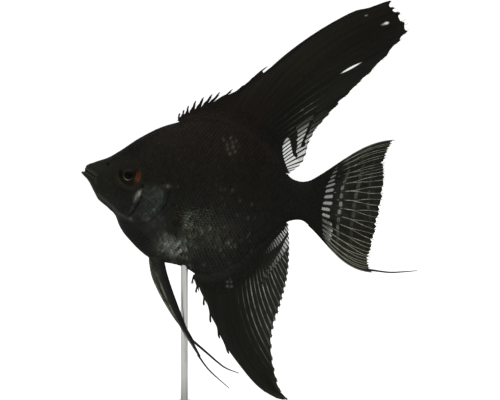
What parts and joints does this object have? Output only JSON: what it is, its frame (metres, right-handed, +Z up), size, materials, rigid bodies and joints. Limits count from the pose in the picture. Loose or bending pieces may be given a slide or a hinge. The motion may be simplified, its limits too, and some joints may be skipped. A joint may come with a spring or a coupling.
{
  "type": "freshwater angelfish display model",
  "caption": "Still, life-size black veil-finned angelfish, deep flat body with long fins, held by a steel rod on a flat wooden base.",
  "frame": {"origin": "centre of the stand's underside, on the surface the stand rests on", "axes": "+Z up; the fish heads towards -X with its left side facing -Y, and carries its nose about 8 degrees up"},
  "size_m": [0.117, 0.056, 0.1398],
  "materials": {
    "black_skin": "satin, scaled",
    "gill_cover_skin": "satin, with a grey-green sheen",
    "black_fin_web": "satin, ribbed by the fin rays",
    "clear_fin_web": "clear, ribbed by the fin rays",
    "dark_eye": "wet gloss",
    "stand_wood": "dark stain, satin varnish",
    "stand_steel": "brushed"
  },
  "bodies": {
    "root": {"head": "black_skin", "lower_jaw": "black_skin", "trunk": "black_skin", "tail_stalk": "black_skin", "gill_cover_left": "gill_cover_skin", "gill_cover_right": "gill_cover_skin", "eye_left": "dark_eye", "eye_right": "dark_eye", "dorsal_fin": "black_fin_web", "anal_fin": "black_fin_web", "caudal_fin": "black_fin_web", "pelvic_fin_left": "black_fin_web", "pelvic_fin_right": "black_fin_web", "pectoral_fin_left": "clear_fin_web", "pectoral_fin_right": "clear_fin_web", "stand_base": "stand_wood", "stand_rod": "stand_steel", "stand_collar": "stand_steel"}
  },
  "joints": []
}
